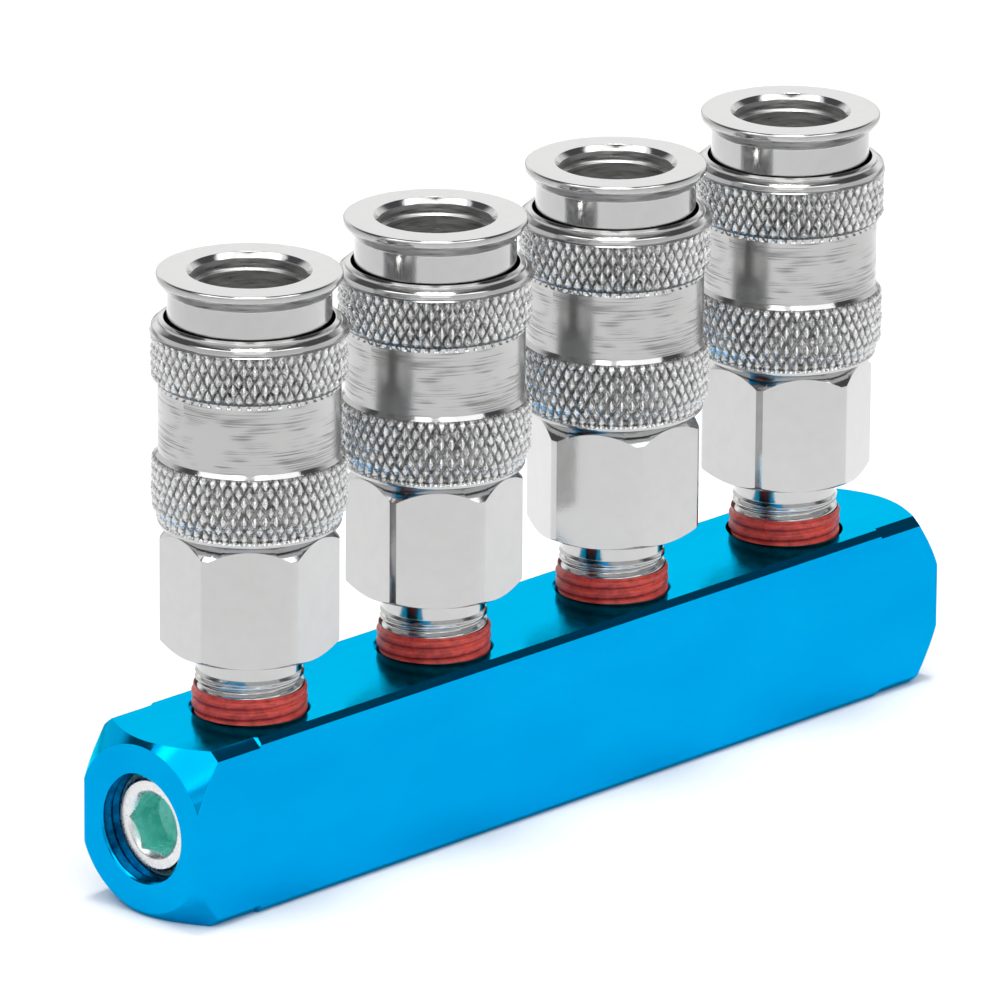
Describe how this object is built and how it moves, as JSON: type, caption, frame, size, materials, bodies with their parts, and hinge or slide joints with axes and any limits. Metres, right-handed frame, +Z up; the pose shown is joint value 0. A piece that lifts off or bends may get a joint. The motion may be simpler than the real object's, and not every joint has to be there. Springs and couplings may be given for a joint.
{
  "type": "pneumatic splitter",
  "caption": "Straight air manifold bar with a row of push-to-lock quick couplers on top, a plugged end and an open threaded inlet end.",
  "frame": {"origin": "centre of the bar's underside, midway between its two ends", "axes": "+X along the bar from the plugged end to the open inlet end, +Z up through the couplers, +Y across the bar"},
  "size_m": [0.131, 0.0238, 0.0764],
  "materials": {
    "blue_anodised": "bright anodised",
    "plated": "bright nickel plate on steel",
    "zinc": "bright zinc plate",
    "ball_steel": "polished hard steel",
    "spring_steel": "drawn spring wire",
    "brass": "turned",
    "rubber": "matt",
    "sealant": "matt cured thread sealant"
  },
  "bodies": {
    "manifold": {"bar": "blue_anodised", "end_plug": "zinc", "adaptor_1": "plated", "nose_1": "plated", "gasket_1": "rubber", "sealant_1": "sealant", "sleeve_spring_1": "spring_steel", "valve_spring_1": "spring_steel", "adaptor_2": "plated", "nose_2": "plated", "gasket_2": "rubber", "sealant_2": "sealant", "sleeve_spring_2": "spring_steel", "valve_spring_2": "spring_steel", "adaptor_3": "plated", "nose_3": "plated", "gasket_3": "rubber", "sealant_3": "sealant", "sleeve_spring_3": "spring_steel", "valve_spring_3": "spring_steel", "adaptor_4": "plated", "nose_4": "plated", "gasket_4": "rubber", "sealant_4": "sealant", "sleeve_spring_4": "spring_steel", "valve_spring_4": "spring_steel"},
    "sleeve_1_body": {"sleeve_1": "plated"},
    "valve_1_body": {"valve_1": "brass", "valve_seal_1": "rubber", "pusher_1": "plated"},
    "ball_1a_body": {"ball_1a": "ball_steel"},
    "ball_1b_body": {"ball_1b": "ball_steel"},
    "ball_1c_body": {"ball_1c": "ball_steel"},
    "sleeve_2_body": {"sleeve_2": "plated"},
    "valve_2_body": {"valve_2": "brass", "valve_seal_2": "rubber", "pusher_2": "plated"},
    "ball_2a_body": {"ball_2a": "ball_steel"},
    "ball_2b_body": {"ball_2b": "ball_steel"},
    "ball_2c_body": {"ball_2c": "ball_steel"},
    "sleeve_3_body": {"sleeve_3": "plated"},
    "valve_3_body": {"valve_3": "brass", "valve_seal_3": "rubber", "pusher_3": "plated"},
    "ball_3a_body": {"ball_3a": "ball_steel"},
    "ball_3b_body": {"ball_3b": "ball_steel"},
    "ball_3c_body": {"ball_3c": "ball_steel"},
    "sleeve_4_body": {"sleeve_4": "plated"},
    "valve_4_body": {"valve_4": "brass", "valve_seal_4": "rubber", "pusher_4": "plated"},
    "ball_4a_body": {"ball_4a": "ball_steel"},
    "ball_4b_body": {"ball_4b": "ball_steel"},
    "ball_4c_body": {"ball_4c": "ball_steel"}
  },
  "joints": [
    {"name": "sleeve_1_slide", "type": "slide", "parent": "manifold", "child": "sleeve_1_body", "axis": [0, 0, 1], "range_m": [0, 0.0033], "deforming": ["sleeve_spring_1"]},
    {"name": "valve_1_slide", "type": "slide", "parent": "manifold", "child": "valve_1_body", "axis": [0, 0, 1], "range_m": [-0.0066, 0], "stiffness_N_per_m": 100, "deforming": ["valve_spring_1"]},
    {"name": "ball_1a_slide", "type": "slide", "parent": "manifold", "child": "ball_1a_body", "axis": [-0.723, -0.6909, 0], "range_m": [0, 0.0009]},
    {"name": "ball_1b_slide", "type": "slide", "parent": "manifold", "child": "ball_1b_body", "axis": [0.9598, -0.2807, 0], "range_m": [0, 0.0009]},
    {"name": "ball_1c_slide", "type": "slide", "parent": "manifold", "child": "ball_1c_body", "axis": [-0.2368, 0.9715, 0], "range_m": [0, 0.0009]},
    {"name": "sleeve_2_slide", "type": "slide", "parent": "manifold", "child": "sleeve_2_body", "axis": [0, 0, 1], "range_m": [0, 0.0033], "deforming": ["sleeve_spring_2"]},
    {"name": "valve_2_slide", "type": "slide", "parent": "manifold", "child": "valve_2_body", "axis": [0, 0, 1], "range_m": [-0.0066, 0], "stiffness_N_per_m": 100, "deforming": ["valve_spring_2"]},
    {"name": "ball_2a_slide", "type": "slide", "parent": "manifold", "child": "ball_2a_body", "axis": [-0.723, -0.6909, 0], "range_m": [0, 0.0009]},
    {"name": "ball_2b_slide", "type": "slide", "parent": "manifold", "child": "ball_2b_body", "axis": [0.9598, -0.2807, 0], "range_m": [0, 0.0009]},
    {"name": "ball_2c_slide", "type": "slide", "parent": "manifold", "child": "ball_2c_body", "axis": [-0.2368, 0.9715, 0], "range_m": [0, 0.0009]},
    {"name": "sleeve_3_slide", "type": "slide", "parent": "manifold", "child": "sleeve_3_body", "axis": [0, 0, 1], "range_m": [0, 0.0033], "deforming": ["sleeve_spring_3"]},
    {"name": "valve_3_slide", "type": "slide", "parent": "manifold", "child": "valve_3_body", "axis": [0, 0, 1], "range_m": [-0.0066, 0], "stiffness_N_per_m": 100, "deforming": ["valve_spring_3"]},
    {"name": "ball_3a_slide", "type": "slide", "parent": "manifold", "child": "ball_3a_body", "axis": [-0.723, -0.6909, 0], "range_m": [0, 0.0009]},
    {"name": "ball_3b_slide", "type": "slide", "parent": "manifold", "child": "ball_3b_body", "axis": [0.9598, -0.2807, 0], "range_m": [0, 0.0009]},
    {"name": "ball_3c_slide", "type": "slide", "parent": "manifold", "child": "ball_3c_body", "axis": [-0.2368, 0.9715, 0], "range_m": [0, 0.0009]},
    {"name": "sleeve_4_slide", "type": "slide", "parent": "manifold", "child": "sleeve_4_body", "axis": [0, 0, 1], "range_m": [0, 0.0033], "deforming": ["sleeve_spring_4"]},
    {"name": "valve_4_slide", "type": "slide", "parent": "manifold", "child": "valve_4_body", "axis": [0, 0, 1], "range_m": [-0.0066, 0], "stiffness_N_per_m": 100, "deforming": ["valve_spring_4"]},
    {"name": "ball_4a_slide", "type": "slide", "parent": "manifold", "child": "ball_4a_body", "axis": [-0.723, -0.6909, 0], "range_m": [0, 0.0009]},
    {"name": "ball_4b_slide", "type": "slide", "parent": "manifold", "child": "ball_4b_body", "axis": [0.9598, -0.2807, 0], "range_m": [0, 0.0009]},
    {"name": "ball_4c_slide", "type": "slide", "parent": "manifold", "child": "ball_4c_body", "axis": [-0.2368, 0.9715, 0], "range_m": [0, 0.0009]}
  ],
  "couplings": [
    {"joint": "valve_1_slide", "follows": "sleeve_1_slide", "ratio": -2},
    {"joint": "ball_1a_slide", "follows": "sleeve_1_slide", "ratio": 0.2727},
    {"joint": "ball_1b_slide", "follows": "sleeve_1_slide", "ratio": 0.2727},
    {"joint": "ball_1c_slide", "follows": "sleeve_1_slide", "ratio": 0.2727},
    {"joint": "valve_2_slide", "follows": "sleeve_2_slide", "ratio": -2},
    {"joint": "ball_2a_slide", "follows": "sleeve_2_slide", "ratio": 0.2727},
    {"joint": "ball_2b_slide", "follows": "sleeve_2_slide", "ratio": 0.2727},
    {"joint": "ball_2c_slide", "follows": "sleeve_2_slide", "ratio": 0.2727},
    {"joint": "valve_3_slide", "follows": "sleeve_3_slide", "ratio": -2},
    {"joint": "ball_3a_slide", "follows": "sleeve_3_slide", "ratio": 0.2727},
    {"joint": "ball_3b_slide", "follows": "sleeve_3_slide", "ratio": 0.2727},
    {"joint": "ball_3c_slide", "follows": "sleeve_3_slide", "ratio": 0.2727},
    {"joint": "valve_4_slide", "follows": "sleeve_4_slide", "ratio": -2},
    {"joint": "ball_4a_slide", "follows": "sleeve_4_slide", "ratio": 0.2727},
    {"joint": "ball_4b_slide", "follows": "sleeve_4_slide", "ratio": 0.2727},
    {"joint": "ball_4c_slide", "follows": "sleeve_4_slide", "ratio": 0.2727}
  ]
}
